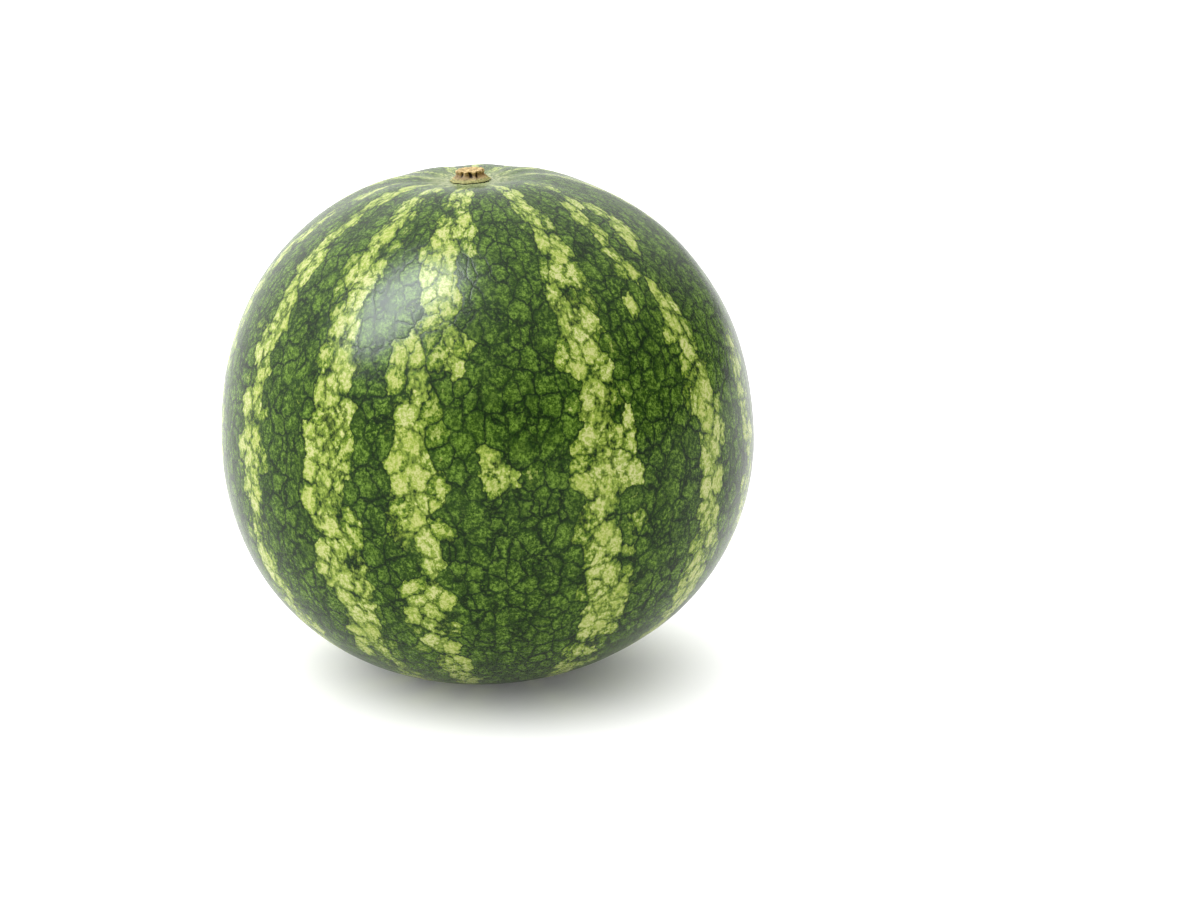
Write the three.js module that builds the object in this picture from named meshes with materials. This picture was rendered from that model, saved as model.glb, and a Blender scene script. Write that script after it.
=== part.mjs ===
// A whole round watermelon, standing on its blossom end with the dry stub of its stem on top.
// Millimetres, +Z up. The origin is on the surface that the fruit rests on, under the middle of its box.
// The fruit is drawn round its own axis: the polar angle is 0 at the stem end and 180 degrees at the
// blossom end, and the azimuth runs round the axis from +X towards +Y.
import * as THREE from "three";

// Overall size and form of the fruit
const EQUATOR_DIAMETER = 260;
const STEM_END_HEIGHT = 130; // from the girth up to the stem end, before its hollow
const BLOSSOM_END_HEIGHT = 121; // from the girth down to the blossom end, before it is flattened
const SHOULDER_FULLNESS = 2.14; // superellipse exponent above the girth, where 2 is an ellipsoid
const BASE_FULLNESS = 2.11; // the same below the girth
const LEAN_DEGREES = 3.5; // the fruit's axis leans towards -X
const FOOT_RADIUS = 34; // the flat spot that the fruit stands on

// Hollow and ribs at the stem end
const STEM_HOLLOW_DEPTH = 5;
const STEM_HOLLOW_RADIUS = 27; // where about two thirds of the hollow's depth is gone
const RIB_COUNT = 9;
const RIB_HEIGHT = 0.5;
const RIB_START_RADIUS = 28; // the ribs grow to their height between the axis and here
const RIB_END_RADIUS = 80; // and have mostly faded here

// Slight unevenness of a grown fruit
const OVAL_SWELL = 0.7; // two lobes round the girth
const OVAL_AZIMUTH = THREE.MathUtils.degToRad(135);
const THREE_LOBE_SWELL = 0.5; // three lobes round the girth
const THREE_LOBE_AZIMUTH = THREE.MathUtils.degToRad(30);
const LOPSIDED_SWELL = 0.7; // fuller high and low at -X, and at the girth at +X
const SHOULDER_SINK = 0.5; // flatter shoulders at -X and +X, with a fuller base below them

// Dry stub of the stem
const STUB_HEIGHT = 5.2;
const STUB_CROWN_RADIUS = 6.7;
const STUB_WAIST_RADIUS = 5.9;
const STUB_COLLAR_RADIUS = 10.2;
const STUB_COLLAR_THICKNESS = 0.9;
const STUB_DISH_DEPTH = 0.9; // the broken top is slightly hollow
const STRAND_COUNT = 10; // woody strands that stand out round the stub
const STRAND_HEIGHT = 0.7;

// Fit of the stub to the fruit
const SEAT_MARGIN = 0.5; // flat rind left showing round the collar
const SEAT_GAP = 0.3;

// Fineness of the surfaces
const FRUIT_SEGMENTS = 72;
const FRUIT_RINGS = 38;
const RING_CROWDING = 1.3; // over 1, rings lie closer together at the stem end
const STUB_SEGMENTS = 60;

const girthRadius = EQUATOR_DIAMETER / 2;
const seatRadius = STUB_COLLAR_RADIUS + SEAT_MARGIN;
const lean = THREE.MathUtils.degToRad(LEAN_DEGREES);
const leaning = new THREE.Matrix4().makeRotationY(-lean);

// How far below the girth the fruit has narrowed to its flat spot.
const footDepth =
  BLOSSOM_END_HEIGHT * (1 - (FOOT_RADIUS / girthRadius) ** BASE_FULLNESS) ** (1 / BASE_FULLNESS);

// Distance from the fruit's middle to its undistorted surface.
function fullRadius(polar) {
  const upper = Math.cos(polar) > 0;
  const halfHeight = upper ? STEM_END_HEIGHT : BLOSSOM_END_HEIGHT;
  const fullness = upper ? SHOULDER_FULLNESS : BASE_FULLNESS;
  const across = Math.sin(polar) / girthRadius;
  const along = Math.abs(Math.cos(polar)) / halfHeight;
  return (across ** fullness + along ** fullness) ** (-1 / fullness);
}

// How far the grown fruit stands out from that surface at one place. The ribs are at the stem end only.
function unevenness(polar, azimuth) {
  const across = Math.sin(polar);
  const fromAxis = girthRadius * across;
  const rise = Math.min(1, fromAxis / RIB_START_RADIUS);
  const ribShare = Math.cos(polar) > 0 ? rise * Math.exp(-((fromAxis / RIB_END_RADIUS) ** 2)) : 0;
  const ribs = RIB_HEIGHT * ribShare * Math.cos(polar) * Math.cos(RIB_COUNT * azimuth);
  const oval = OVAL_SWELL * across ** 2 * Math.cos(2 * (azimuth - OVAL_AZIMUTH));
  const lobes = THREE_LOBE_SWELL * across ** 3 * Math.cos(3 * (azimuth - THREE_LOBE_AZIMUTH));
  const x = across * Math.cos(azimuth);
  const z = Math.cos(polar);
  const lopsided = LOPSIDED_SWELL * (x ** 3 - 3 * x * z ** 2);
  const shoulders = SHOULDER_SINK * (z ** 3 - 3 * x ** 2 * z);
  return ribs + oval + lobes + lopsided + shoulders;
}

// How far the stem end is drawn in, at a distance from the axis. The seat itself stays flat.
function hollow(fromAxis) {
  const beyondSeat = Math.max(0, fromAxis - seatRadius);
  return STEM_HOLLOW_DEPTH * Math.exp(-((beyondSeat / (STEM_HOLLOW_RADIUS - seatRadius)) ** 2));
}

const seatHeight = STEM_END_HEIGHT - STEM_HOLLOW_DEPTH;

// A place on the rind, with the fruit's middle at the origin and its axis leaning.
function rindPoint(polar, azimuth) {
  const radius = fullRadius(polar) + unevenness(polar, azimuth);
  const fromAxis = radius * Math.sin(polar);
  let height = radius * Math.cos(polar);
  if (height > 0) height -= hollow(fromAxis);
  const point = new THREE.Vector3(fromAxis * Math.cos(azimuth), fromAxis * Math.sin(azimuth), height);
  return point.applyMatrix4(leaning);
}

// Polar angle at which the rind comes down to the flat spot, found by halving.
function footPolar(azimuth) {
  let above = Math.PI / 2;
  let below = Math.PI;
  for (let step = 0; step < 40; step++) {
    const middle = (above + below) / 2;
    if (rindPoint(middle, azimuth).z > -footDepth) above = middle;
    else below = middle;
  }
  return (above + below) / 2;
}

// A closed surface through rings of points, listed from the top down, with a middle point for each end.
// Each ring's points run round from +X towards +Y.
function solidFromRings(topMiddle, rings, bottomMiddle) {
  const around = rings[0].length;
  const points = [topMiddle, ...rings.flat(), bottomMiddle];
  const bottom = points.length - 1;
  const index = [];
  for (let i = 0; i < around; i++) {
    const next = (i + 1) % around;
    index.push(0, 1 + i, 1 + next);
    for (let ring = 0; ring < rings.length - 1; ring++) {
      const upper = 1 + ring * around;
      const lower = upper + around;
      index.push(upper + i, lower + i, lower + next);
      index.push(upper + i, lower + next, upper + next);
    }
    const last = bottom - around;
    index.push(bottom, last + next, last + i);
  }
  return new THREE.BufferGeometry().setFromPoints(points).setIndex(index);
}

function azimuths(count) {
  return Array.from({ length: count }, (_, i) => (2 * Math.PI * i) / count);
}

// The fruit is one solid: it grew as one piece, and its inside doesn't show.
function fruit() {
  const seat = azimuths(FRUIT_SEGMENTS).map((azimuth) =>
    new THREE.Vector3(
      seatRadius * Math.cos(azimuth),
      seatRadius * Math.sin(azimuth),
      seatHeight,
    ).applyMatrix4(leaning),
  );
  const seatPolar = Math.asin(seatRadius / STEM_END_HEIGHT);
  const rings = [seat];
  for (let ring = 1; ring <= FRUIT_RINGS; ring++) {
    const share = (ring / FRUIT_RINGS) ** RING_CROWDING;
    rings.push(
      azimuths(FRUIT_SEGMENTS).map((azimuth) =>
        rindPoint(THREE.MathUtils.lerp(seatPolar, footPolar(azimuth), share), azimuth),
      ),
    );
  }
  const foot = rings[FRUIT_RINGS];
  for (const point of foot) point.z = -footDepth;
  const footMiddle = foot
    .reduce((sum, point) => sum.add(point), new THREE.Vector3())
    .divideScalar(foot.length)
    .setZ(-footDepth);
  const seatMiddle = new THREE.Vector3(0, 0, seatHeight).applyMatrix4(leaning);
  const geometry = solidFromRings(seatMiddle, rings, footMiddle);
  geometry.translate(0, 0, footDepth);
  const rind = new THREE.MeshStandardMaterial({ color: 0x3f6427, roughness: 0.38, metalness: 0 });
  const mesh = new THREE.Mesh(geometry, rind);
  mesh.name = "fruit";
  return mesh;
}

// The stub of the stem, with its underside at height 0 and its own axis along Z.
function stemStub() {
  // Each step is [height, radius, share of the strands' height].
  const outline = [
    [STUB_HEIGHT - STUB_DISH_DEPTH, 0.45 * STUB_CROWN_RADIUS, 0],
    [STUB_HEIGHT - 0.2 * STUB_DISH_DEPTH, 0.8 * STUB_CROWN_RADIUS, 0.4],
    [STUB_HEIGHT - 0.1 * STUB_DISH_DEPTH, STUB_CROWN_RADIUS, 0.8],
    [STUB_HEIGHT * 0.8, STUB_CROWN_RADIUS, 1],
    [STUB_HEIGHT * 0.55, STUB_WAIST_RADIUS, 1],
    [STUB_HEIGHT * 0.35, STUB_WAIST_RADIUS + 0.6, 0.9],
    [STUB_COLLAR_THICKNESS, THREE.MathUtils.lerp(STUB_WAIST_RADIUS, STUB_COLLAR_RADIUS, 0.55), 0.4],
    [STUB_COLLAR_THICKNESS * 0.45, STUB_COLLAR_RADIUS, 0],
    [0, STUB_COLLAR_RADIUS, 0],
  ];
  const rings = outline.map(([height, radius, share]) =>
    azimuths(STUB_SEGMENTS).map((azimuth) => {
      const reach = radius + STRAND_HEIGHT * share * Math.cos(STRAND_COUNT * azimuth);
      return new THREE.Vector3(reach * Math.cos(azimuth), reach * Math.sin(azimuth), height);
    }),
  );
  const topMiddle = new THREE.Vector3(0, 0, STUB_HEIGHT - STUB_DISH_DEPTH);
  const geometry = solidFromRings(topMiddle, rings, new THREE.Vector3(0, 0, 0));
  const cork = new THREE.MeshStandardMaterial({ color: 0xa98a5a, roughness: 0.9, metalness: 0 });
  const mesh = new THREE.Mesh(geometry, cork);
  mesh.name = "stem_stub";
  return mesh;
}

// The stub stands square on its seat, so it turns with the fruit's axis.
const stubHolder = new THREE.Group();
stubHolder.rotation.y = -lean;
stubHolder.position
  .set(0, 0, seatHeight + SEAT_GAP)
  .applyMatrix4(leaning)
  .add(new THREE.Vector3(0, 0, footDepth));
stubHolder.add(stemStub());

const watermelon = new THREE.Group();
watermelon.add(fruit(), stubHolder);

// The origin goes under the middle of the girth's box.
const box = new THREE.Box3().setFromObject(watermelon);
watermelon.position.set(-(box.min.x + box.max.x) / 2, -(box.min.y + box.max.y) / 2, 0);

export default watermelon;
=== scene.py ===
# %% [markdown]
# # A whole watermelon
#
# This lesson dresses a round, striped watermelon that stands on the flat spot at its blossom end, with the
# dry stub of its stem on top. The plain fruit and the plain stub come from the CAD frame, and the finished
# pieces made here take their place and size from it.
#
# The frame is loaded first. Everything is in metres, +Z is up, and the floor is at Z = 0.

# %% Load the frame
import math

import bpy
from mathutils import Matrix, Vector, noise


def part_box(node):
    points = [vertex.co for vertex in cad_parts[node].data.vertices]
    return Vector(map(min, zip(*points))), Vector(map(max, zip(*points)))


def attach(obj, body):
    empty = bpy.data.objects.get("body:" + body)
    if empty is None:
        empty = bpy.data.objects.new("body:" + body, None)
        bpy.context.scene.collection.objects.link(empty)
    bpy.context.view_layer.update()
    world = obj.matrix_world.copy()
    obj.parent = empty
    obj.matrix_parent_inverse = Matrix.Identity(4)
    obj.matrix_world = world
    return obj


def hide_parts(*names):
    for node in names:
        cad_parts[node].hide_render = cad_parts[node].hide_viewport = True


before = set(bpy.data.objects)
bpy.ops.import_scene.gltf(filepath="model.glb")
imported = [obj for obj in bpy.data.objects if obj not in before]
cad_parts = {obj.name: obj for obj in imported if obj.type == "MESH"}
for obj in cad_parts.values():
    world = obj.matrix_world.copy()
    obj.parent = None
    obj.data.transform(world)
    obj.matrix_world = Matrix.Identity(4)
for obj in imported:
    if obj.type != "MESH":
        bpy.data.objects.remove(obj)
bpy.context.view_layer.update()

fruit_low, fruit_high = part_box("fruit")
stub_low, stub_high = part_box("stem_stub")
print("fruit", [round(1000 * s, 1) for s in fruit_high - fruit_low], "mm")
print("stub", [round(1000 * s, 1) for s in stub_high - stub_low], "mm")

# %% [markdown]
# ## The fruit's own axis
#
# A watermelon grows round the line from its stem to its blossom end. This one leans a little, so the
# stripes run to a point that isn't straight above the middle. The middle lies at the girth, a little below
# half the height because the base is flattened. The axis runs from there to the middle of the stub.

# %% The middle and the axis
GIRTH_SHARE = 0.479  # the girth's share of the height
MM = 0.001

fruit_size = fruit_high - fruit_low
middle = (fruit_low + fruit_high) / 2
middle.z = fruit_low.z + GIRTH_SHARE * fruit_size.z
girth_radius = (fruit_size.x + fruit_size.y) / 4
stub_middle = (stub_low + stub_high) / 2
axis = (stub_middle - middle).normalized()
axis_turn = Vector((0, 0, 1)).rotation_difference(axis)
print("axis leans", round(math.degrees(axis.angle(Vector((0, 0, 1)))), 2), "degrees")

# %% [markdown]
# ## Camera
#
# The camera stands 1.6 m away with a long lens, so the fruit keeps its true proportions. It looks slightly
# down, and it aims a little to the right of the fruit, which leaves the fruit left of centre.

# %% Camera
VIEW_DISTANCE = 1.6
VIEW_ELEVATION = math.radians(15.5)
AIM_RIGHT = math.radians(1.956)
AIM_DOWN = math.radians(0.313)

camera_data = bpy.data.cameras.new("camera")
camera_data.sensor_width = 36
camera_data.lens = 98.2
camera = bpy.data.objects.new("camera", camera_data)
bpy.context.scene.collection.objects.link(camera)
bpy.context.scene.camera = camera

to_camera = Vector((0, -math.cos(VIEW_ELEVATION), math.sin(VIEW_ELEVATION)))
aim = (
    Matrix.Rotation(math.pi / 2 - VIEW_ELEVATION, 4, "X")
    @ Matrix.Rotation(-AIM_RIGHT, 4, "Y")
    @ Matrix.Rotation(-AIM_DOWN, 4, "X")
)
camera.matrix_world = Matrix.Translation(middle + VIEW_DISTANCE * to_camera) @ aim
print("camera at", [round(c, 3) for c in camera.location])

# %% [markdown]
# ## A helper for materials
#
# A material is a set of small sums on sockets. `Value` wraps a socket, so that a sum is written as plain
# Python and adds its own Math node. `Nodes` holds one tree of nodes, and its `node` method adds any other
# node from its type, its settings and what goes into its sockets. `Finish` is the tree of one material.

# %% Shader sums in Python
class Value:
    """A socket that can be used in sums."""

    def __init__(self, nodes, socket):
        self.nodes = nodes
        self.socket = socket

    def maths(self, operation, *terms):
        """A Math node on all the terms given, this value among them where it takes part."""
        settings = {"operation": operation}
        return self.nodes.node("ShaderNodeMath", settings, dict(enumerate(terms)))

    def __add__(self, other):
        return self.maths("ADD", self, other)

    def __radd__(self, other):
        return self.maths("ADD", other, self)

    def __sub__(self, other):
        return self.maths("SUBTRACT", self, other)

    def __rsub__(self, other):
        return self.maths("SUBTRACT", other, self)

    def __mul__(self, other):
        return self.maths("MULTIPLY", self, other)

    def __rmul__(self, other):
        return self.maths("MULTIPLY", other, self)

    def __truediv__(self, other):
        return self.maths("DIVIDE", self, other)

    def __rtruediv__(self, other):
        return self.maths("DIVIDE", other, self)

    def __pow__(self, other):
        return self.maths("POWER", self, other)

    def at_least(self, other):
        return self.maths("MAXIMUM", self, other)

    def at_most(self, other):
        return self.maths("MINIMUM", self, other)

    def arccosine(self):
        return self.maths("ARCCOSINE", self)


class Nodes:
    """One tree of nodes, and short ways to add to it."""

    def __init__(self, tree):
        self.tree = tree

    def plug(self, value, socket):
        if isinstance(value, Value):
            self.tree.links.new(value.socket, socket)
        else:
            socket.default_value = value

    def node(self, kind, settings=None, values=None, output=0):
        made = self.tree.nodes.new(kind)
        for name, setting in (settings or {}).items():
            setattr(made, name, setting)
        for name, value in (values or {}).items():
            self.plug(value, made.inputs[name])
        return Value(self, made.outputs[output])

    def other_output(self, value, output):
        return Value(self, value.socket.node.outputs[output])

    def vector(self, operation, *terms, output=0):
        return self.node("ShaderNodeVectorMath", {"operation": operation}, dict(enumerate(terms)), output)

    def scaled(self, vector, factor):
        return self.node("ShaderNodeVectorMath", {"operation": "SCALE"}, {0: vector, "Scale": factor})

    def split(self, vector):
        parts = self.node("ShaderNodeSeparateXYZ", None, {0: vector})
        return parts, self.other_output(parts, 1), self.other_output(parts, 2)

    def joined(self, x, y, z):
        return self.node("ShaderNodeCombineXYZ", None, {0: x, 1: y, 2: z})

    def mix(self, factor, first, second):
        """The first colour where the factor is 0, and the second where it is 1."""
        settings = {"data_type": "RGBA"}
        return self.node("ShaderNodeMix", settings, {"Factor": factor, 6: first, 7: second}, 2)

    def layered(self, base, layers):
        """The base colour with each layer's colour laid over it, as strongly as its mask says."""
        for mask, strength, tint in layers:
            base = self.mix(mask * strength, base, tint)
        return base

    def step(self, value, start, end):
        """0 up to start, 1 from end on, and a smooth rise between them."""
        settings = {"interpolation_type": "SMOOTHSTEP"}
        return self.node("ShaderNodeMapRange", settings, {"Value": value, "From Min": start, "From Max": end})

    def noise(self, vector, size, detail=2.0, roughness=0.5, output=0):
        """Soft noise whose lumps are about the given size, in the vector's own unit."""
        values = {"Vector": vector, "Scale": 1 / size, "Detail": detail, "Roughness": roughness}
        return self.node("ShaderNodeTexNoise", None, values, output)

    def cells(self, vector, size, feature="F1", randomness=1.0, output=0):
        """Voronoi cells about the given size across."""
        values = {"Vector": vector, "Scale": 1 / size, "Randomness": randomness}
        return self.node("ShaderNodeTexVoronoi", {"feature": feature}, values, output)


class Finish(Nodes):
    """One material and its nodes."""

    def __init__(self, name):
        self.material = bpy.data.materials.new(name)
        self.material.use_nodes = True
        super().__init__(self.material.node_tree)
        self.shader = self.tree.nodes["Principled BSDF"]

    def set(self, **values):
        """Put each value, or the link to it, into the shader's socket of that name."""
        for name, value in values.items():
            self.plug(value, self.shader.inputs[name.replace("_", " ")])


def colour(red, green, blue):
    """A colour given as it looks on a screen, 0 to 255, turned to light amounts."""

    def linear(part):
        part = part / 255
        return part / 12.92 if part <= 0.04045 else ((part + 0.055) / 1.055) ** 2.4

    return (linear(red), linear(green), linear(blue), 1)


print("middle grey is", round(colour(128, 128, 128)[0], 3), "of white's light")


# %% [markdown]
# ## The rind's own map
#
# The pattern of a rind follows the fruit's axis: stripes run from the stem to the blossom end, and cells
# that are round at the girth get narrow near both ends. So the place on the rind is worked out as a
# longitude and a distance along the meridian, in millimetres. Longitude goes in as a cosine and a sine,
# which has no seam at the back.

# %% Places on the rind
POLE_NARROWING = 0.3  # the power of the distance from the axis at which cells get narrow near the ends
STEM_STRETCH = 0.25  # radians from the stem within which cells are drawn out to streaks
AXIS_SHARE = 0.0004  # the least square of the distance from the axis, so that nothing is divided by 0


class RindMap:
    """Where a point lies on the fruit: at the front the longitude is 0, and it grows to the right."""

    def __init__(self, finish):
        own = finish.node("ShaderNodeTexCoord", output=3)
        settings = {"vector_type": "TEXTURE"}
        placed = finish.node(
            "ShaderNodeMapping",
            settings,
            {
                "Vector": own,
                "Location": middle,
                "Rotation": axis_turn.to_euler(),
                "Scale": (MM, MM, MM),
            },
        )
        self.place = placed
        direction = finish.vector("NORMALIZE", placed)
        across, along, up = finish.split(direction)
        from_axis = ((1 - up * up).at_least(AXIS_SHARE)) ** 0.5
        self.from_axis = from_axis
        self.cosine = along * -1 / from_axis
        self.sine = across / from_axis
        self.polar = up.arccosine()  # 0 at the stem, in radians
        reach = 1000 * girth_radius * from_axis ** POLE_NARROWING
        meridian = 1000 * girth_radius * self.polar * self.polar / (self.polar + STEM_STRETCH)
        self.flat = finish.joined(self.cosine * reach, self.sine * reach, meridian)


print("girth", round(2000 * math.pi * girth_radius), "mm round")

# %% [markdown]
# ## The fruit's skin
#
# The rind is one smooth, closed skin. A lathe would crowd its faces at both poles, where the stem's hollow
# and the blossom scar need them even. A cube that is divided and rounded to a ball has faces of nearly one
# size all over, and its six sides unfold to a clean map.
#
# The cube's grid is spread first, by a tangent, so that it comes out even once it is round.

# %% A round cube
GRID = 96  # faces along each side of the cube
SIDE_GAP = 0.012  # left free round each side in the map


def start_clean():
    if bpy.context.object and bpy.context.object.mode != "OBJECT":
        bpy.ops.object.mode_set(mode="OBJECT")
    bpy.ops.object.select_all(action="DESELECT")


def apply_modifier(piece, kind, **settings):
    made = piece.modifiers.new(kind.lower(), kind)
    for name, setting in settings.items():
        setattr(made, name, setting)
    bpy.context.view_layer.objects.active = piece
    bpy.ops.object.modifier_apply(modifier=made.name)


start_clean()
bpy.ops.mesh.primitive_cube_add(size=2)
fruit = bpy.context.object
fruit.name = "watermelon"
bpy.ops.object.mode_set(mode="EDIT")
bpy.ops.mesh.select_all(action="SELECT")
bpy.ops.mesh.subdivide(number_cuts=GRID - 1)
bpy.ops.object.mode_set(mode="OBJECT")
print("cube faces", len(fruit.data.polygons))

# %% [markdown]
# ## The map of the skin
#
# Each side of the cube is laid flat in its own sixth of the map, in three columns and two rows, before the
# cube is rounded. That keeps every seam on an edge of the cube.

# %% Unfold the six sides
sides = [(axis_number, sign) for axis_number in range(3) for sign in (-1, 1)]
while fruit.data.uv_layers:
    fruit.data.uv_layers.remove(fruit.data.uv_layers[0])
unfolded = fruit.data.uv_layers.new(name="OFBake")
for face in fruit.data.polygons:
    axis_number = max(range(3), key=lambda i: abs(face.normal[i]))
    side = sides.index((axis_number, 1 if face.normal[axis_number] > 0 else -1))
    column = side % 3
    row = side // 3
    first, second = [i for i in range(3) if i != axis_number]
    for corner in face.loop_indices:
        place = fruit.data.vertices[fruit.data.loops[corner].vertex_index].co
        u = SIDE_GAP + (1 - 2 * SIDE_GAP) * (place[first] + 1) / 2
        v = SIDE_GAP + (1 - 2 * SIDE_GAP) * (place[second] + 1) / 2
        unfolded.data[corner].uv = ((column + u) / 3, (row + v) / 2)
print("map sides", len(sides))

# %% [markdown]
# ## From cube to fruit
#
# The cube becomes a ball a little bigger than the fruit, and then each point moves in to the CAD fruit's
# surface. The CAD surface has small flats, so the skin is smoothed a little afterwards.

# %% Round it and fit it to the frame
BALL_SHARE = 1.2  # the ball's radius as a share of the girth's, so that it starts outside the fruit
SMOOTHINGS = 14

for point in fruit.data.vertices:
    point.co = [math.tan(part * math.pi / 4) for part in point.co]
apply_modifier(fruit, "CAST", factor=1.0, cast_type="SPHERE", size=BALL_SHARE * girth_radius)
fruit.data.transform(Matrix.Translation(middle))
apply_modifier(
    fruit,
    "SHRINKWRAP",
    target=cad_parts["fruit"],
    wrap_method="PROJECT",
    use_negative_direction=True,
    use_positive_direction=True,
)
apply_modifier(fruit, "SMOOTH", factor=0.5, iterations=SMOOTHINGS)
skin_top = max(point.co.z for point in fruit.data.vertices)
print("skin top", round(1000 * skin_top, 2), "mm, frame's top", round(1000 * fruit_high.z, 2), "mm")

# %% [markdown]
# ## What grew unevenly
#
# A real rind isn't a turned shape. It swells and sinks by a fraction of a millimetre over a few
# centimetres, and the skin is pleated round the stem. Both are moves along the surface's own direction, as
# with a sculpting brush. They fade out on the flat spot, which stays flat.

# %% Swells and pleats
SWELL = 0.35 * MM
SWELL_SIZE = 38 * MM
FLAT_TOP = 2 * MM  # nothing swells below this height, and all of it from SWELL_FULL on
SWELL_FULL = 30 * MM
PLEATS = 17
PLEAT_HEIGHT = 0.3 * MM
PLEAT_START = 9 * MM  # from the axis
PLEAT_END = 42 * MM
PLEAT_SWAY = 3
SWAY_SIZE = 26 * MM
SWAY_SHIFT = Vector((7, 3, 1))  # so that the sway doesn't follow the swells


def smooth_step(value, start, end):
    share = min(1, max(0, (value - start) / (end - start)))
    return share * share * (3 - 2 * share)


def distance_from_axis(place):
    beside = place - middle
    return (beside - beside.dot(axis) * axis).length


fruit.data.update()
moves = []
for point in fruit.data.vertices:
    lump = noise.noise(point.co / SWELL_SIZE)
    move = SWELL * lump * smooth_step(point.co.z, FLAT_TOP, SWELL_FULL)
    beside = point.co - middle
    if beside.dot(axis) > 0:
        away = distance_from_axis(point.co)
        turn = math.atan2(beside.y, beside.x)
        wander = 1.3 * noise.noise(point.co / SWAY_SIZE + SWAY_SHIFT)
        rise = smooth_step(away, PLEAT_START, 2 * PLEAT_START)
        fall = 1 - smooth_step(away, PLEAT_START, PLEAT_END)
        move += PLEAT_HEIGHT * (rise * fall) * math.cos(PLEATS * turn + PLEAT_SWAY * wander)
    moves.append(point.normal * move)
for point, move in zip(fruit.data.vertices, moves):
    point.co += move
fruit.data.update()
for face in fruit.data.polygons:
    face.use_smooth = True
print("skin points", len(fruit.data.vertices))
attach(fruit, "root")
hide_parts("fruit")

# %% [markdown]
# ## The stub of the stem
#
# Where the fruit came off the vine, a short dry stub is left: a thin flared collar on the rind, a waist of
# woody strands, and a broken, corky top that is slightly hollow. It is drawn up from a disc, ring by ring:
# each extrusion is one step of the outline. Then the surface is divided finely enough for the strands and
# the dark pits between them.

# %% Draw the stub up, ring by ring
STUB_POINTS = 60
COLLAR_RADIUS = 10.2  # in millimetres
TOP_INSET = 1.2 * MM
steps = [
    # height, radius, in millimetres
    (0.2, COLLAR_RADIUS),
    (0.6, 9.3),
    (1.2, 8.3),
    (1.9, 7.3),
    (2.6, 6.4),
    (3.3, 6.0),
    (4.2, 6.5),
    (4.9, 6.6),
    (5.2, 6.0),
    (4.9, 4.6),
    (4.5, 2.4),
]

collar_radius = COLLAR_RADIUS * MM
start_clean()
bpy.ops.mesh.primitive_circle_add(vertices=STUB_POINTS, radius=collar_radius, fill_type="NGON")
stub = bpy.context.object
stub.name = "stem_stub_cork"
bpy.ops.object.mode_set(mode="EDIT")
bpy.ops.mesh.select_mode(type="FACE")
bpy.ops.mesh.select_all(action="SELECT")
height = 0
radius = collar_radius
for next_height, next_radius in steps:
    rise = next_height * MM - height
    ratio = next_radius * MM / radius
    bpy.ops.mesh.extrude_region_move(TRANSFORM_OT_translate={"value": (0, 0, rise)})
    bpy.ops.transform.resize(value=(ratio, ratio, 1))
    height = next_height * MM
    radius = next_radius * MM
bpy.ops.mesh.inset(thickness=TOP_INSET)
bpy.ops.mesh.poke()
bpy.ops.mesh.select_all(action="SELECT")
bpy.ops.mesh.normals_make_consistent(inside=False)
bpy.ops.object.mode_set(mode="OBJECT")
print("stub faces", len(stub.data.polygons))

# %% [markdown]
# ## Strands, pits and a broken top
#
# The dry strands stand out round the waist, and the soft tissue between them has shrunk to pits. The
# broken top and the collar's edge are ragged. How deep a point lies in a pit is kept on the mesh, so that
# the material can paint shade into it.

# %% Weather the stub
STRANDS = 10
STRAND_HEIGHT = 0.55 * MM
PIT_DEPTH = 1.3 * MM
SIDE_RAGGED = 0.2  # in millimetres, as the next two
TOP_RAGGED = 0.28
COLLAR_RAGGED = 0.8
COARSE_CRUMB = 1.3 * MM
FINE_CRUMB = 0.5 * MM

apply_modifier(stub, "SUBSURF", levels=2, render_levels=2)
pit_depths = stub.data.attributes.new("pit", "FLOAT", "POINT")
for number, point in enumerate(stub.data.vertices):
    height = point.co.z / MM
    turn = math.atan2(point.co.y, point.co.x)
    outward = Vector((math.cos(turn), math.sin(turn), 0))
    from_middle = math.hypot(point.co.x, point.co.y)
    wander = noise.noise(Vector((2 * outward.x, 2 * outward.y, 0.25 * height)))
    wave = math.cos(STRANDS * turn + 2.2 * wander)
    on_side = smooth_step(height, 0.3, 1.6) * (1 - smooth_step(height, 4.7, 5.2))
    is_outside = smooth_step(from_middle, 4.8 * MM, 5.6 * MM)
    pit_height = smooth_step(height, 1.6, 2.5) * (1 - smooth_step(height, 3.9, 4.9))
    pit_size = 0.65 + 0.9 * noise.noise(Vector((3 * outward.x, 3 * outward.y, 5)))
    pit = smooth_step(-wave, 0.1, 0.8) * pit_height * is_outside * min(1, max(0.15, pit_size))
    ragged = noise.noise(point.co / COARSE_CRUMB) + 0.5 * noise.noise(point.co / FINE_CRUMB)
    on_top = smooth_step(height, 4.1, 4.6)
    edge = 1 - smooth_step(height, 0.2, 1.2)
    point.co += outward * (STRAND_HEIGHT * wave * on_side - PIT_DEPTH * pit)
    point.co += outward * SIDE_RAGGED * MM * ragged * is_outside * (on_side + on_top)
    fray = noise.noise(2.2 * outward) + 0.5 * wave - 0.5
    point.co += outward * COLLAR_RAGGED * MM * edge * is_outside * fray
    point.co.z += TOP_RAGGED * MM * ragged * on_top
    pit_depths.data[number].value = pit
for face in stub.data.polygons:
    face.use_smooth = True

lean = axis.angle(Vector((0, 0, 1)))
stub_base = Vector((stub_middle.x, stub_middle.y, stub_low.z + collar_radius * math.sin(lean)))
stub_place = Matrix.Translation(stub_base) @ axis_turn.to_matrix().to_4x4()
stub.data.transform(stub_place)
stub.data.update()
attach(stub, "root")
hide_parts("stem_stub")
print("stub base", [round(1000 * c, 1) for c in stub_base], "mm")

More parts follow.
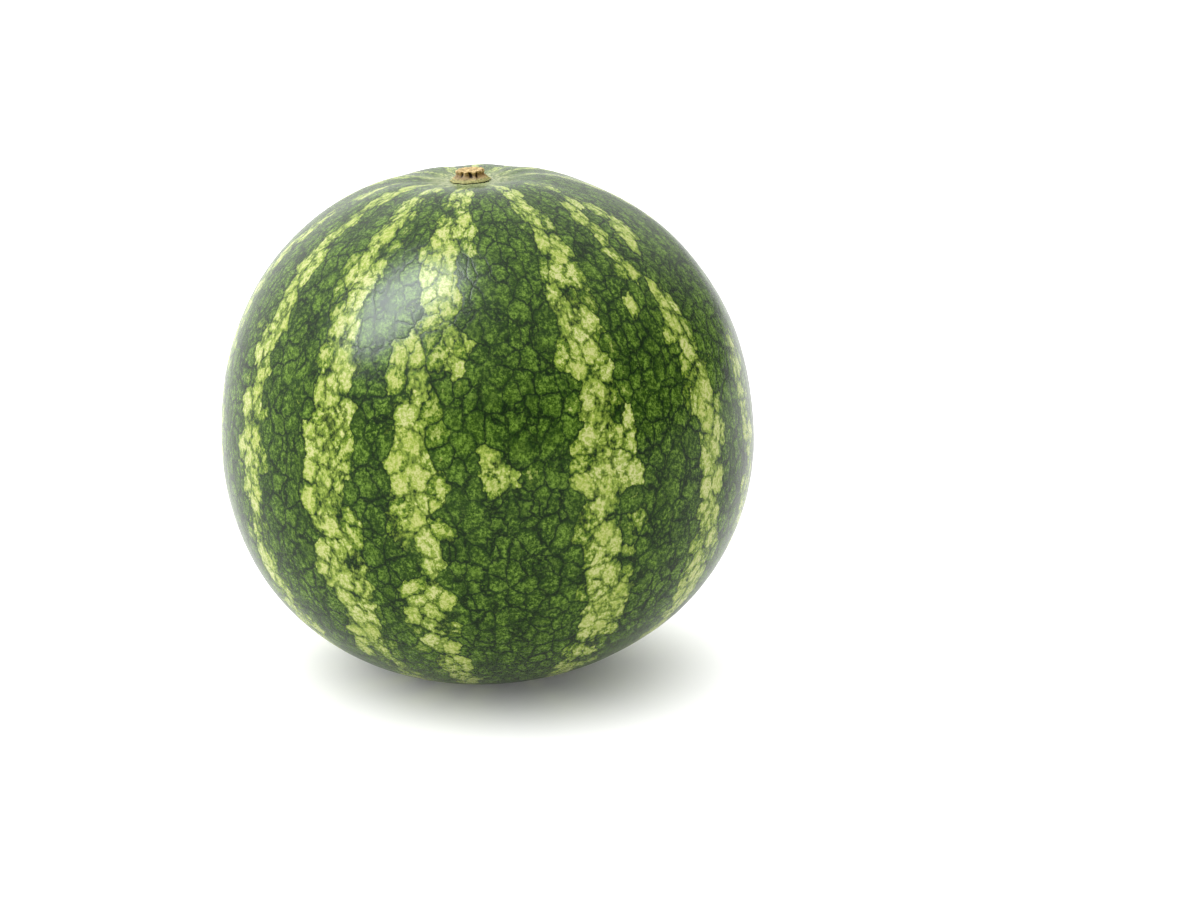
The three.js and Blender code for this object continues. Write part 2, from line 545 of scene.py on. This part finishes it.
# %% [markdown]
# ## Where the stripes are
#
# The pale stripes of this kind of melon follow the main strands under the rind, about 25 degrees apart and
# never evenly. Each line below is one stripe or one stray piece of a stripe: its longitude, its half
# width, where it starts and ends from the stem, and how strongly it shows.

# %% Stripes
STRIPES = [
    # longitude, half width, start, end (degrees), strength
    (-84, 4.5, 12, 180, 0.7),
    (-60, 4, 8, 180, 1.1),
    (-34, 5.5, 8, 180, 1.15),
    (-10.5, 4.5, 8, 58, 1.05),
    (-14.5, 4, 56, 180, 1.2),
    (-15, 6, 54, 66, 1.0),
    (-3, 4, 12, 36, 0.9),
    (-6, 4.5, 54, 68, 0.8),
    (3, 4.5, 75, 88, 0.8),
    (12, 2.5, 12, 26, 0.6),
    (28, 5, 8, 46, 1.0),
    (25, 5.5, 42, 180, 1.1),
    (42, 2.5, 51, 57, 0.8),
    (49, 4.5, 26, 52, 0.85),
    (60, 5, 12, 42, 0.8),
    (54, 4.5, 50, 180, 1.1),
    (75, 4, 66, 180, 0.7),
    (99, 6, 8, 180, 1.0),
    (124, 5, 8, 180, 0.95),
    (149, 6.5, 8, 180, 1.0),
    (160, 4, 30, 80, 0.8),
    (174, 5, 8, 180, 0.9),
    (-159, 6, 8, 180, 1.0),
    (-134, 5.5, 8, 180, 0.95),
    (-125, 3.5, 20, 50, 0.8),
    (-109, 6, 8, 180, 1.0),
]
TOP_START = 8  # a stripe that starts here runs up to the stem
BOTTOM_END = 180  # and one that ends here runs down to the blossom scar
END_FADE = 4  # degrees over which a stripe's end fades, each way
OUTSIDE = 2.5  # how far past its end a stripe's share drops


def seen_from_axis(finish, place):
    """The direction from the axis, without its height, and the angle from the stem in degrees."""
    across, along, meridian = finish.split(place)
    reach = (across * across + along * along) ** 0.5
    facing = finish.joined(across / reach, along / reach, 0.0)
    drawn = meridian / (1000 * girth_radius)
    polar = (drawn + (drawn * drawn + drawn * (4 * STEM_STRETCH)) ** 0.5) / 2
    return facing, polar * (180 / math.pi)


def stripe_share(finish, place):
    """1 in the middle of a stripe, 0 at its edge, and less than 0 outside."""
    facing, polar = seen_from_axis(finish, place)
    share = None
    for longitude, half_width, start, end, strength in STRIPES:
        turn = math.radians(longitude)
        line = (math.cos(turn), math.sin(turn), 0)
        edge = math.cos(math.radians(half_width))
        near = finish.vector("DOT_PRODUCT", facing, line, output=1)
        inside = (near - 1) * (1 / (1 - edge)) + strength
        if start > TOP_START:
            inside = inside + (finish.step(polar, start - END_FADE, start + END_FADE) - 1) * OUTSIDE
        if end < BOTTOM_END:
            inside = inside - finish.step(polar, end - END_FADE, end + END_FADE) * OUTSIDE
        share = inside if share is None else share.at_least(inside)
    return share.at_least(-2.0)


print("stripes and stray pieces", len(STRIPES))

# %% [markdown]
# ## The cells of the rind
#
# Close to, the rind is a net of green cells with darker veins between them, which a Voronoi pattern draws
# well. Left alone its edges are straight and it looks like paving. So the place is moved about by soft
# noise first: widely, so that the rows of cells wander, and then finely, so that each vein is crinkled.

# %% Cells of the rind
CELL = 8.6  # across, in millimetres
CELL_STRETCH = 0.82  # below 1 makes the cells longer along the meridian
FINE_CELL = 3.6
WANDER_SIZE = 30
WANDER_REACH = 9
CRINKLE_SIZE = 4.5
CRINKLE_REACH = 6.5

rind = Finish("rind")
on_rind = RindMap(rind)


def shaken(finish, place, size, amount, detail=1.0):
    """The place moved about by soft noise, so that straight patterns wander."""
    push = finish.noise(place, size, detail=detail, output=1)
    push = finish.scaled(finish.vector("SUBTRACT", push, (0.5, 0.5, 0.5)), amount)
    return finish.vector("ADD", place, push)


def stretched(finish, place, along):
    return finish.vector("MULTIPLY", place, (1, 1, along))


wandering = shaken(rind, on_rind.flat, WANDER_SIZE, WANDER_REACH)
crinkled = shaken(rind, wandering, CRINKLE_SIZE, CRINKLE_REACH, detail=3.0)
cell_place = stretched(rind, crinkled, CELL_STRETCH)
cell = rind.cells(cell_place, CELL)
cell_paleness, cell_tone, cell_outline = rind.split(rind.other_output(cell, 1))
cell_middle = stretched(rind, rind.other_output(cell, 2), 1 / CELL_STRETCH)
cell_edge = rind.cells(cell_place, CELL, "DISTANCE_TO_EDGE") * CELL
fine_edge = rind.cells(crinkled, FINE_CELL, "DISTANCE_TO_EDGE") * FINE_CELL
print("nodes for the cells", len(rind.tree.nodes))

# %% [markdown]
# ## What varies over the rind
#
# Nothing on a fruit is even. Broad and patchy noises follow the rind's own map, so that they are drawn out
# round the stem like the cells. The finest ones, the mottle and the grain, are the same size everywhere, so
# they read the plain place. The lobes give each pale blotch its scalloped outline.

# %% Noises of the rind
PATCH_SIZE = 14
BROAD_SIZE = 60
CLOUD_SIZE = 9
MOTTLE_SIZE = 1.7
GRAIN_SIZE = 0.8
LOBE_SIZE = 2.3
LOBE_STRETCH = 0.85

patchy = rind.noise(on_rind.flat, PATCH_SIZE, detail=2.0)
broad = rind.noise(on_rind.flat, BROAD_SIZE, detail=1.0)
clouds = rind.noise(on_rind.flat, CLOUD_SIZE, detail=2.0)
mottle = rind.noise(on_rind.place, MOTTLE_SIZE, detail=4.0, roughness=0.75)
grain = rind.noise(on_rind.place, GRAIN_SIZE, detail=2.0, roughness=0.6)
lobes = rind.noise(stretched(rind, wandering, LOBE_STRETCH), LOBE_SIZE, detail=3.0, roughness=0.65)
print("nodes with the noises", len(rind.tree.nodes))

# %% [markdown]
# ## Veins
#
# A vein is a thin dark line with a wide, soft shade on both sides of it. It doesn't show round every cell,
# so the patches and each cell's own chance let it fade out. A finer net lies under the first one.

# %% Veins
vein_shows = rind.step(patchy + 0.4 * cell_outline, 0.35, 0.75)
vein = (1 - rind.step(cell_edge, 0.08, 0.72)) * vein_shows
vein_shade = 1 - rind.step(cell_edge, 0.2, 1.9)
fine_vein = 1 - rind.step(fine_edge, 0.1, 0.6)
print("nodes with the veins", len(rind.tree.nodes))

# %% [markdown]
# ## Pale blotches
#
# A stripe isn't painted: it is a chain of cells that lost most of their green. Each cell asks how far its
# middle lies inside a stripe, and adds its own chance. The paler it is, the nearer to its edge the pale part
# starts. The pale part is also kept round, and the lobes scallop it, so the veins stay green between cells.

# %% Which cells are pale
ROUNDNESS = 5.0  # how far a pale blotch reaches from its cell's middle
CELL_CHANCE = 1.25  # how much a cell's own chance counts beside its place in the stripe
LOBE_REACH = 9.5
FULL_SHARE = 0.4  # a cell with less than this share of a stripe has a smaller blotch
BLOTCH_LOSS = 3.6

share = stripe_share(rind, cell_middle) + (cell_paleness - 0.5) * CELL_CHANCE
blotch_start = patchy * 3.4 - 0.9 + ((FULL_SHARE - share) * BLOTCH_LOSS).at_least(0.0)
blotch_reach = (cell_edge - blotch_start).at_most(ROUNDNESS - cell * CELL)
inside_blotch = blotch_reach + (lobes - 0.5) * LOBE_REACH
pale = rind.step(inside_blotch, 0.0, 0.5)
half_pale = rind.step(inside_blotch, -2.6, 0.0) * rind.step(share, -0.5, 0.3)
print("nodes with the blotches", len(rind.tree.nodes))

# %% [markdown]
# ## The dark bands
#
# The bands are built up like a glaze, from a deep green: lighter middles of the cells, light and dark
# mottle, darker clouds, grain, and then the veins, the darkest last.

# %% Colour of the dark bands
deep_green = rind.mix(rind.step(broad, 0.35, 0.65), colour(44, 68, 12), colour(54, 80, 19))
band_layers = [
    # where, how strongly, which green
    ((1 - vein_shade) * cell_tone, 0.7, colour(84, 112, 34)),
    (rind.step(mottle, 0.49, 0.59), 0.85, colour(104, 132, 50)),
    (rind.step(mottle, 0.5, 0.41), 0.65, colour(20, 40, 4)),
    (rind.step(clouds, 0.52, 0.34), 0.55, colour(22, 44, 6)),
    (rind.step(grain, 0.5, 0.34), 0.5, colour(22, 42, 8)),
    (fine_vein, 0.25, colour(24, 46, 12)),
    (vein_shade, 0.5, colour(24, 46, 14)),
    (vein, 0.85, colour(8, 22, 7)),
]
green = rind.layered(deep_green, band_layers)
print("layers of the bands", len(band_layers))

# %% [markdown]
# ## The stripes' two colours
#
# Inside a blotch the rind is a yellowish cream, flecked with green. Between the blotches of a stripe it is
# a fresh leaf green, which also rims each blotch, so the stripe fades into the bands in two steps.

# %% Colours of the stripes
leaf_base = rind.mix(rind.step(mottle, 0.42, 0.58), colour(60, 90, 16), colour(126, 146, 50))
leaf_layers = [
    (rind.step(share, 0.1, 0.8), 0.45, colour(138, 156, 68)),
    (vein, 0.4, colour(38, 62, 16)),
]
leaf = rind.layered(leaf_base, leaf_layers)

cream_base = rind.mix(cell_tone, colour(162, 166, 98), colour(178, 178, 126))
cream_layers = [
    (rind.step(mottle, 0.54, 0.44), 0.8, colour(122, 142, 46)),
    (rind.step(grain, 0.5, 0.36), 0.4, colour(106, 130, 40)),
    (1 - rind.step(inside_blotch, 0.3, 1.4), 0.5, colour(130, 150, 56)),
]
cream = rind.layered(cream_base, cream_layers)

pale_strength = 0.55 + 0.45 * rind.step(share, -0.1, 0.35)
skin_colour = rind.mix(half_pale * 0.8, green, leaf)
skin_colour = rind.mix(pale * pale_strength, skin_colour, cream)
print("layers of the stripes", len(leaf_layers) + len(cream_layers))

# %% [markdown]
# ## Both ends
#
# Round the stem the rind is waxy, and its pale grey there is partly the wax's own colour and partly painted
# sheen. Everything on it is drawn out to streaks that point at the stub. At the other end the flower left a
# small corky scar. Both have uneven edges, so noise shifts where they end.

# %% Wax with painted sheen, and scar
STREAK_SIZE = 3.4
STREAK_STRETCH = 0.08
WAX_AND_SHEEN_START = 0.11  # radians from the stem
WAX_AND_SHEEN_END = 0.23
SCAR_RADIUS = 0.055  # radians from the blossom end
SCAR_EDGE = 0.075

drawn_out = stretched(rind, on_rind.flat, STREAK_STRETCH)
streaks = rind.noise(drawn_out, STREAK_SIZE, detail=3.0, roughness=0.6)
near_stem = 1 - rind.step(on_rind.polar + (streaks - 0.5) * 0.35, WAX_AND_SHEEN_START, WAX_AND_SHEEN_END)
# The pale grey of the streaks round the stem is partly the wax's own colour and partly painted sheen.
wax_and_painted_sheen = rind.mix(rind.step(streaks, 0.42, 0.58), colour(60, 82, 32), colour(160, 164, 124))
skin_colour = rind.mix(near_stem * 0.9, skin_colour, wax_and_painted_sheen)

scar = rind.step(on_rind.polar + (patchy - 0.5) * 0.03, math.pi - SCAR_EDGE, math.pi - SCAR_RADIUS)
scar_colour = rind.mix(grain, colour(120, 96, 60), colour(176, 150, 104))
skin_colour = rind.mix(scar, skin_colour, scar_colour)
print("scar about", round(2000 * SCAR_RADIUS * girth_radius), "mm across")

# %% [markdown]
# ## Gloss and relief
#
# A clean rind has a soft shine, duller where it is waxy and dull on the cork of the scar. The grain stands
# out by a few hundredths of a millimetre and the veins lie as deep, which a bump shows well enough.

# %% Gloss and relief of the rind
GLOSS_ROUGHNESS = 0.27
RELIEF_STRENGTH = 0.25
RELIEF_DEPTH = 0.3 * MM

roughness = GLOSS_ROUGHNESS + (grain - 0.5) * 0.2 + near_stem * 0.12 + scar * 0.3
relief = grain * 0.5 - vein_shade * 0.3 - vein * 0.3
relief_values = {"Strength": RELIEF_STRENGTH, "Distance": RELIEF_DEPTH, "Height": relief}
bumped = rind.node("ShaderNodeBump", None, relief_values)
rind.set(Base_Color=skin_colour, Roughness=roughness, Normal=bumped, Specular_IOR_Level=0.08)
fruit.data.materials.append(rind.material)
print("rind nodes", len(rind.tree.nodes))

# %% [markdown]
# ## Cork
#
# The stub has dried to cork: tan on the broken top, brown round the waist, and still a little green at the
# collar, where it meets the living rind. The pits are painted nearly black as shade. The fibres run along
# the stem, so their noise is drawn out that way.

# %% Cork material
FIBRE_SIZE = 0.8
FIBRE_STRETCH = 0.3
BLOTCH_SIZE = 2.2

cork = Finish("cork")
cork_own = cork.node("ShaderNodeTexCoord", output=3)
cork_place = cork.node(
    "ShaderNodeMapping",
    {"vector_type": "TEXTURE"},
    {"Vector": cork_own, "Location": stub_base, "Rotation": axis_turn.to_euler(), "Scale": (MM, MM, MM)},
)
_, _, cork_height = cork.split(cork_place)
fibres = cork.noise(stretched(cork, cork_place, FIBRE_STRETCH), FIBRE_SIZE, detail=4.0, roughness=0.7)
blotches = cork.noise(cork_place, BLOTCH_SIZE, detail=3.0)
pit = cork.node("ShaderNodeAttribute", {"attribute_name": "pit"}, output=2)
print("nodes for the cork's noises", len(cork.tree.nodes))

# %% [markdown]
# ## The cork's colour
#
# The colour goes on from pale to dark, as it does when a stem dries: tan first, dark fibres over it, olive
# at the collar and brown round the waist. Last comes painted shade, nearly black, in the pits.

# %% Colour of the cork
tan = cork.mix(cork.step(blotches, 0.35, 0.65), colour(140, 114, 60), colour(194, 168, 108))
tan = cork.mix(cork.step(fibres, 0.5, 0.36) * 0.8, tan, colour(80, 56, 28))
olive = cork.mix(cork.step(fibres, 0.35, 0.65), colour(96, 96, 36), colour(152, 148, 80))
at_collar = 1 - cork.step(cork_height + (fibres - 0.5) * 1.5, 0.7, 2.4)
waist = cork.step(cork_height, 1.0, 2.2) * (1 - cork.step(cork_height, 3.2, 4.4))
tan = cork.mix(at_collar, tan, olive)
tan = cork.mix(waist * 0.6, tan, colour(104, 78, 42))
# Painted shade: nearly black where a pit is deep.
tan = cork.mix(cork.step(pit, 0.08, 0.45) * 0.95, tan, colour(34, 20, 10))

cork_relief = {"Strength": 0.7, "Distance": 0.4 * MM, "Height": fibres}
cork_bump = cork.node("ShaderNodeBump", None, cork_relief)
cork_roughness = 0.8 + (fibres - 0.5) * 0.2
cork.set(Base_Color=tan, Roughness=cork_roughness, Normal=cork_bump, Specular_IOR_Level=0.3)
stub.data.materials.append(cork.material)
print("cork nodes", len(cork.tree.nodes))

# %% [markdown]
# ## Floor
#
# The fruit stands on a plain white table. White paper is never dead even, so its tone varies very slightly.
# It gives off a little light of its own, which keeps the shadow under the fruit pale.

# %% Floor
FLOOR_SIZE = 12
PAPER_GLOW = 0.08

start_clean()
bpy.ops.mesh.primitive_plane_add(size=FLOOR_SIZE)
floor = bpy.context.object
floor.name = "floor"
paper = Finish("white paper")
paper_tone = paper.noise(paper.node("ShaderNodeTexCoord", output=3), 0.4, detail=2.0)
paper_white = paper.mix(paper_tone, (0.92, 0.92, 0.92, 1), (0.94, 0.94, 0.94, 1))
paper.set(Base_Color=paper_white, Roughness=0.9, Specular_IOR_Level=0.0)
paper.set(Emission_Color=(1, 1, 1, 1), Emission_Strength=PAPER_GLOW)
floor.data.materials.append(paper.material)
print("floor", FLOOR_SIZE, "m wide")

# %% [markdown]
# ## Lamp
#
# A softbox above and to the left makes the bright patch on the rind. It aims at the place where the patch
# lies, and its long oval gives the patch its shape. It shows as gloss only, so it neither bleaches the
# greens nor throws a second shadow.

# %% Lamp
SHINE_PLACE = middle + Vector((-0.05, -0.08, 0.094))  # what the lamp aims at
LAMP_DIRECTION = Vector((-0.53, -0.2, 0.82)).normalized()
LAMP_DISTANCE = 1.3
LAMP_WIDTH = 0.62
LAMP_LENGTH = 1.35
LAMP_POWER = 125
LAMP_COLOUR = (0.92, 0.98, 1.0)

lamp_data = bpy.data.lights.new("softbox", "AREA")
lamp_data.shape = "ELLIPSE"
lamp_data.size = LAMP_WIDTH
lamp_data.size_y = LAMP_LENGTH
lamp_data.energy = LAMP_POWER
lamp_data.color = LAMP_COLOUR
lamp = bpy.data.objects.new("softbox", lamp_data)
bpy.context.scene.collection.objects.link(lamp)
lamp.location = SHINE_PLACE + LAMP_DISTANCE * LAMP_DIRECTION
lamp.rotation_euler = LAMP_DIRECTION.to_track_quat("Z", "Y").to_euler()
lamp.visible_diffuse = False
print("lamp at", [round(c, 2) for c in lamp.location])

# %% [markdown]
# ## Room
#
# The rest of the light is a white room. It is brightest above and to the left, a little behind the fruit,
# and darkest low on the other side. That keeps the greens deep where they face the camera and gives the
# rind its pale, shiny edges. The camera itself sees plain white behind the table.

# %% Room
DARK_SIDE = 0.22
BRIGHT_SIDE = 3.0
BRIGHT_DIRECTION = Vector((-0.42, 0.22, 0.88)).normalized()
BRIGHT_FROM = -0.2  # the share of that direction at which the room starts to get brighter
BRIGHT_FULL = 0.95
BACKDROP = 1.0

world = bpy.data.worlds.new("room")
bpy.context.scene.world = world
world.use_nodes = True
room = Nodes(world.node_tree)
towards_bright = room.vector("DOT_PRODUCT", room.node("ShaderNodeTexCoord"), BRIGHT_DIRECTION, output=1)
brightness = room.node(
    "ShaderNodeMapRange",
    {"interpolation_type": "SMOOTHSTEP"},
    {
        "Value": towards_bright,
        "From Min": BRIGHT_FROM,
        "From Max": BRIGHT_FULL,
        "To Min": DARK_SIDE,
        "To Max": BRIGHT_SIDE,
    },
)
seen_by_camera = room.node("ShaderNodeLightPath")
strength = room.node("ShaderNodeMix", None, {"Factor": seen_by_camera, "A": brightness, "B": BACKDROP})
background = world.node_tree.nodes["Background"]
room.plug((1, 1, 1, 1), background.inputs["Color"])
room.plug(strength, background.inputs["Strength"])

bpy.context.scene.view_settings.view_transform = "Standard"
bpy.context.scene.view_settings.look = "None"
print("room nodes", len(room.tree.nodes))
